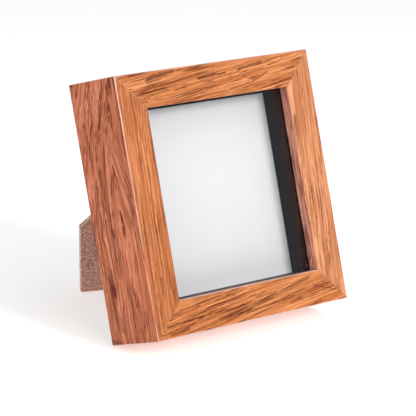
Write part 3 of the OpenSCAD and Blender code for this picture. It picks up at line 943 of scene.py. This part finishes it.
class COINFRAME_OT_hinge(bpy.types.Operator):
    """Make the strut's hinge with its pin and rivets"""
    bl_idname = "coinframe.hinge"
    bl_label = "Strut hinge"

    def execute(self, context):
        metal = settings_of(context).metal
        f = zinc(metal)
        eased("hinge_fixed_leaf", "fixed_leaf", "frame", f, metal.ease, "zinc_steel")
        eased("hinge_moving_leaf", "moving_leaf", "leg", f, metal.ease, "zinc_steel")
        eased("hinge_pin", "pin_rod", "frame", f, metal.ease, "zinc_steel")
        for node, matrix, body in (("board_rivets", HINGE, "frame"), ("leg_rivets", LEG, "leg")):
            bm = bmesh.new()
            for low, high in loose_boxes(node, matrix):
                middle = (low + high) / 2
                head_r = (high.x - low.x) / 2
                seat = high.y - RIVET_HEAD_H
                place = matrix @ Matrix.Translation((middle.x, seat, middle.z))
                profile = [(wide * head_r, low.y - seat + up) for wide, up in RIVET_TAIL]
                profile += [(wide * head_r, up) for wide, up in RIVET_HEAD]
                lathe(bm, profile, place)
            bmesh.ops.recalc_face_normals(bm, faces=bm.faces)
            settle(bm, "domed_" + node, body, f, node, slot="zinc_steel")
        return {"FINISHED"}


class COINFRAME_OT_hanging_plates(bpy.types.Operator):
    """Make the two hanging plates"""
    bl_idname = "coinframe.hanging_plates"
    bl_label = "Hanging plates"

    def execute(self, context):
        metal = settings_of(context).metal
        f = zinc(metal)
        for side in ("top", "side"):
            eased("hanger_" + side, "keyhole_plate_" + side, "frame", f, metal.ease, "zinc_steel")
        return {"FINISHED"}


FLOOR_R = 4.0                   # in metres
FLOOR_DROP = 0.2 * MM           # keeps the floor clear of the frame's bottom edge
# Each soft light: its power's setting, its place in metres and the side of its square
SOFT_BOXES = (
    ("key", (0.32, -1.62, 0.98), 0.55),
    ("fill", (-1.6, -0.3, 0.7), 1.4),
    ("top", (0.0, -0.8, 1.5), 1.2),
)
# The camera in face directions: its place in millimetres, and its right, down and ahead
CAMERA_PLACE = (-921.92, -1021.5, 100.8)
CAMERA_RIGHT = (0.73675, -0.65581, -0.16464)
CAMERA_DOWN = (-0.14131, 0.08877, -0.98598)
CAMERA_AHEAD = (0.66123, 0.74968, -0.02727)
SENSOR_WIDTH = 36               # in millimetres
FARTHEST = 20                   # in metres


def soft_box(name, place, target, side, power):
    """A large square soft light that faces target."""
    light = bpy.data.lights.new(name, "AREA")
    light.shape = "RECTANGLE"
    light.size = side
    light.size_y = side
    light.energy = power
    obj = bpy.data.objects.new(name, light)
    obj.location = place
    obj.rotation_euler = (Vector(target) - Vector(place)).to_track_quat("-Z", "Y").to_euler()
    bpy.context.scene.collection.objects.link(obj)


class COINFRAME_OT_stage(bpy.types.Operator):
    """Set the floor, the soft lights and the camera"""
    bl_idname = "coinframe.stage"
    bl_label = "Stage"

    def execute(self, context):
        stage = settings_of(context).stage
        bm = bmesh.new()
        bmesh.ops.create_circle(bm, cap_ends=True, segments=96, radius=FLOOR_R)
        mesh = bpy.data.meshes.new("floor")
        bm.to_mesh(mesh)
        bm.free()
        floor = bpy.data.objects.new("floor", mesh)
        floor.location.z = -FLOOR_DROP
        context.scene.collection.objects.link(floor)
        f = Finish("pale_floor", roughness=0.9, specular_ior_level=0.1, emission_color=(1.0, 1.0, 1.0),
                   emission_strength=stage.glow)
        haze = f.noise(f.node("ShaderNodeTexCoord").outputs["Object"], 3.0, 2.0)
        f.set(base_color=f.mix(haze, stage.floor, scaled(stage.floor, 1.01)))
        dress(floor, f)

        world = bpy.data.worlds.new("white_surroundings")
        world.use_nodes = True
        world.node_tree.nodes["Background"].inputs["Color"].default_value = (1, 1, 1, 1)
        world.node_tree.nodes["Background"].inputs["Strength"].default_value = stage.sky
        context.scene.world = world
        context.scene.view_settings.view_transform = "Standard"

        middle = FACE @ Vector((0, 0, HEIGHT / 2))
        for name, place, side in SOFT_BOXES:
            soft_box(name + "_box", place, middle, side, getattr(stage, name))

        camera = bpy.data.cameras.new("camera")
        camera.sensor_fit = "HORIZONTAL"
        camera.sensor_width = SENSOR_WIDTH
        camera.lens = stage.lens
        camera.clip_end = FARTHEST
        obj = bpy.data.objects.new("camera", camera)
        turn = FACE.to_3x3().normalized()
        right, down, ahead = (turn @ Vector(way) for way in (CAMERA_RIGHT, CAMERA_DOWN, CAMERA_AHEAD))
        view = Matrix((right, -down, -ahead)).transposed().to_4x4()
        obj.matrix_world = Matrix.Translation(FACE @ Vector(CAMERA_PLACE)) @ view
        context.scene.collection.objects.link(obj)
        context.scene.camera = obj
        return {"FINISHED"}


# ---------------------------------------------------------------- add-on

class FrameSettings(bpy.types.PropertyGroup):
    foil: PointerProperty(type=FoilSettings)
    board: PointerProperty(type=BoardSettings)
    metal: PointerProperty(type=MetalSettings)
    stage: PointerProperty(type=StageSettings)


OPERATORS = (
    COINFRAME_OT_rails, COINFRAME_OT_corner_nails, COINFRAME_OT_glass,
    COINFRAME_OT_front_spacers, COINFRAME_OT_insert_card, COINFRAME_OT_rear_spacers,
    COINFRAME_OT_backboard, COINFRAME_OT_turn_buttons, COINFRAME_OT_screws,
    COINFRAME_OT_hinge, COINFRAME_OT_strut_leg, COINFRAME_OT_hanging_plates,
    COINFRAME_OT_stage,
)


class COINFRAME_PT_panel(bpy.types.Panel):
    """Lists the frame's pieces and their settings"""
    bl_idname = "COINFRAME_PT_panel"
    bl_label = "Coin Display Frame"
    bl_space_type = "VIEW_3D"
    bl_region_type = "UI"
    bl_category = "Coin Frame"

    def draw(self, context):
        for operator in OPERATORS:
            self.layout.operator(operator.bl_idname)
        settings = settings_of(context)
        for group in (settings.foil, settings.board, settings.metal, settings.stage):
            box = self.layout.box()
            for name in group.__annotations__:
                box.prop(group, name)


CLASSES = (FoilSettings, BoardSettings, MetalSettings, StageSettings, FrameSettings,
           *OPERATORS, COINFRAME_PT_panel)


def register():
    for item in CLASSES:
        bpy.utils.register_class(item)
    bpy.types.Scene.coin_frame = PointerProperty(type=FrameSettings)


def unregister():
    del bpy.types.Scene.coin_frame
    for item in reversed(CLASSES):
        bpy.utils.unregister_class(item)


def main():
    register()
    for operator in OPERATORS:
        group, name = operator.bl_idname.split(".")
        getattr(getattr(bpy.ops, group), name)()


if __name__ == "__main__":
    main()
